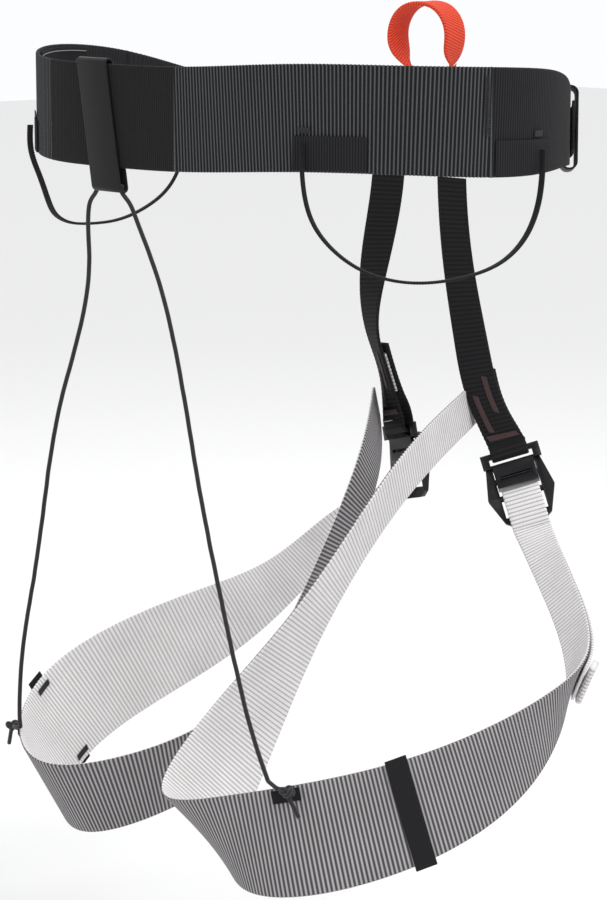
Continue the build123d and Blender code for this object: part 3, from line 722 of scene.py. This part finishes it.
def leg_webbing(side):
    body = f"{side}_leg"
    buckle = f"{side}_buckle"
    node = f"leg_loop_{side}"
    cloth = [leg_outer, leg_inner]
    outward = from_leg(side)
    first, second, thick = straps(node, 2.5 * MM)[0]
    ends = [(first[i] + second[i]) / 2 for i in (0, -1)]
    buckle_spot = node_centre(f"buckle_frame_{side}")
    total = length_of((first + second) / 2) / MM
    share = STRAP_JOIN / total
    at_end = np.linalg.norm(ends[1] - buckle_spot) < np.linalg.norm(ends[0] - buckle_spot)
    main_span = (0, 1 - share) if at_end else (share, 1)
    end_span = (1 - share, 1) if at_end else (0, share)
    reach = (UNDER_RISER[side], STRAP_LAP) if at_end else (STRAP_LAP, UNDER_RISER[side])
    woven(node, body, cloth, outward, LEG_PITCH, 0.14, 20, 2.5, reach, 60, main_span)
    short = woven(node, None, cloth, outward, LEG_PITCH, 0.14, 20, 2.5, reach, 60, end_span,
                  node + "_buckle_end", False)
    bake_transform(short)
    woven(f"strap_turn_{side}", buckle, [leg_inner, leg_inner], away_from(f"buckle_frame_{side}"), LEG_PITCH, 0.1, 12,
          0.35, 0.3)
    woven(f"strap_tail_{side}", body, [leg_inner, leg_inner], outward, LEG_PITCH, 0.12, 14, 1.2, 0.0)
    woven(f"strap_stopper_{side}", body, [leg_inner, leg_inner], outward, LEG_PITCH, 0.12, 14, 0.6, 0.0)
    woven(f"leg_keeper_{side}", body, [fine_cloth, fine_cloth], outward, 0.9, 0.08, 10, 0.5, 0.0)
    stitched(f"keeper_bartacks_{side}", body, black_thread, 0.5, 0.25)


HOOK_WIDEN = 1.085               # fills the frame's window, with a hair's room at each side
BAR_AXIS = {joint["child"].split("_")[0]: joint["axis"] for joint in frame["record"]["behaviour"]["joints"]
            if joint["child"].endswith("_buckle")}


def buckle(side):
    bevelled(f"buckle_frame_{side}", f"{side}_buckle", metal, 0.55, 4)
    bevelled(f"hook_plate_{side}", f"{side}_leg", metal, 0.35, 3, HOOK_WIDEN, BAR_AXIS[side])


# ---- elastic cords ----
def cord_line(node, step=4.0 * MM):
    """The middle line of a cord's solid, from its end in the tab to its end on the leg."""
    bm = bmesh.new()
    bm.from_mesh(frame["nodes"][node].data)
    bmesh.ops.remove_doubles(bm, verts=bm.verts, dist=2e-6)
    start = max(bm.verts, key=lambda v: v.co.z)
    distance = {start: 0.0}
    queue = [(0.0, start.index, start)]
    while queue:
        reached, index, vert = heapq.heappop(queue)
        if reached > distance[vert]:
            continue
        for edge in vert.link_edges:
            other = edge.other_vert(vert)
            further = reached + edge.calc_length()
            if further < distance.get(other, math.inf):
                distance[other] = further
                heapq.heappush(queue, (further, other.index, other))
    points = np.array([v.co[:] for v in distance])
    reach = np.array(list(distance.values()))
    bm.free()
    bins = np.round(reach / step).astype(int)
    return np.array([points[bins == b].mean(axis=0) for b in np.unique(bins)])


def trefoil(centre, size):
    points = []
    for i in range(73):
        t = 2 * math.pi * i / 72
        points.append(centre + np.array([
            size * (math.sin(t) + 2 * math.sin(2 * t)) / 3,
            size * (math.cos(t) - 2 * math.cos(2 * t)) / 3,
            -size * math.sin(3 * t) / 2.2,
        ]))
    return np.array(points)


CORD_RADIUS = 1.1 * MM


def cords(side):
    body = f"{side}_leg"
    line = cord_line(f"elastic_cord_{side}")
    line = smooth(resample(line, 260), 2.5 * MM)
    cord = tubes(f"elastic_cord_{side}_braided", [line], CORD_RADIUS, None, cord_sheath, 12)
    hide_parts(f"elastic_cord_{side}")
    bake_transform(cord)
    centre = node_centre(f"cord_knot_{side}")
    knot_path = trefoil(centre, 3.2 * MM)
    outward = from_leg(side)(centre)
    outward = outward / np.linalg.norm(outward)
    sideways = np.cross(outward, [0, 0, 1.0])
    sideways /= np.linalg.norm(sideways)
    if side == "right":
        sideways = -sideways
    tail_way = sideways * 0.55 - np.array([0, 0, 0.83])
    tail = [centre + (tail_way * s + outward * 0.9) * MM for s in np.linspace(0.5, 13.0, 14)]
    link = resample(np.array([line[-1], (line[-1] + centre) / 2 + outward * 1.2 * MM, centre]), 10)
    knot = tubes(f"cord_knot_{side}_tied", [knot_path, tail, link], 1.05 * MM, body, cord_sheath, 10)
    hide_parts(f"cord_knot_{side}")
    woven(f"cord_anchor_{side}", body, [fine_cloth, fine_cloth], from_leg(side), 0.9, 0.08, 8, 0.3, 0.0)


# ---- stage ----
def stage():
    mesh = bpy.data.meshes.new("floor")
    reach = 6.0
    mesh.from_pydata([(-reach, -reach, 0), (reach, -reach, 0), (reach, reach, 0), (-reach, reach, 0)], [],
                     [(0, 1, 2, 3)])
    floor = bpy.data.objects.new("floor", mesh)
    bpy.context.scene.collection.objects.link(floor)
    s = Shader("pale_floor")
    mesh.materials.append(s.finish((0.86, 0.86, 0.86), 0.9))
    floor.location.z = FLOOR_DROP * MM


def area_light(name, place, target, size, power):
    light = bpy.data.lights.new(name, "AREA")
    light.size = size
    light.energy = power
    lamp = bpy.data.objects.new(name, light)
    lamp.location = place
    lamp.rotation_euler = (Vector(target) - Vector(place)).to_track_quat("-Z", "Y").to_euler()
    bpy.context.scene.collection.objects.link(lamp)


AIM = Vector((-0.047, 0.049, 0.2105))
TOWARDS_CAMERA = Vector((-0.7318, 0.6588, 0.1736))
CAMERA_DISTANCE = 1.464
HALF_HEIGHT = 450                # half the picture's height over its focal length, both in
FOCAL = 3050                     # the same unit
FLOOR_DROP = -70                 # mm below the harness, clear of the leg loops when they swing
WORLD_LIGHT = 0.5


def studio():
    world = bpy.data.worlds.new("studio")
    world.use_nodes = True
    background = world.node_tree.nodes["Background"]
    background.inputs[0].default_value = (0.98, 0.985, 1.0, 1)
    path = world.node_tree.nodes.new("ShaderNodeLightPath")
    strength = world.node_tree.nodes.new("ShaderNodeMapRange")
    strength.inputs["To Min"].default_value = WORLD_LIGHT
    strength.inputs["To Max"].default_value = 1.0
    world.node_tree.links.new(path.outputs["Is Camera Ray"], strength.inputs["Value"])
    world.node_tree.links.new(strength.outputs[0], background.inputs[1])
    bpy.context.scene.world = world
    bpy.context.scene.view_settings.view_transform = "Standard"
    side = TOWARDS_CAMERA.cross(Vector((0, 0, 1))).normalized()
    area_light("key", AIM + TOWARDS_CAMERA * 1.4 + side * -1.0 + Vector((0, 0, 1.1)), AIM, 1.0, 13)
    area_light("fill", AIM + TOWARDS_CAMERA * 1.3 + side * 1.3 + Vector((0, 0, 0.3)), AIM, 1.2, 6)
    area_light("back", AIM - TOWARDS_CAMERA * 1.2 + Vector((0, 0, 1.3)), AIM, 1.0, 5)
    sky = bpy.data.lights.new("overhead", "SUN")
    sky.energy = 1.6
    sky.angle = math.radians(70)
    lamp = bpy.data.objects.new("overhead", sky)
    lamp.rotation_euler = (math.radians(12), math.radians(-14), 0)
    bpy.context.scene.collection.objects.link(lamp)
    camera_data = bpy.data.cameras.new("camera")
    camera_data.sensor_fit = "VERTICAL"
    camera_data.angle = 2 * math.atan(HALF_HEIGHT / FOCAL)
    camera = bpy.data.objects.new("camera", camera_data)
    camera.location = AIM + TOWARDS_CAMERA.normalized() * CAMERA_DISTANCE
    camera.rotation_euler = TOWARDS_CAMERA.to_track_quat("Z", "Y").to_euler()
    bpy.context.scene.collection.objects.link(camera)
    bpy.context.scene.camera = camera


belt()
tab_edging()
label_edging()
closure()
loops()
gear_loops()
for side in SIDES:
    risers(side)
    leg_webbing(side)
    buckle(side)
    cords(side)
stage()
studio()
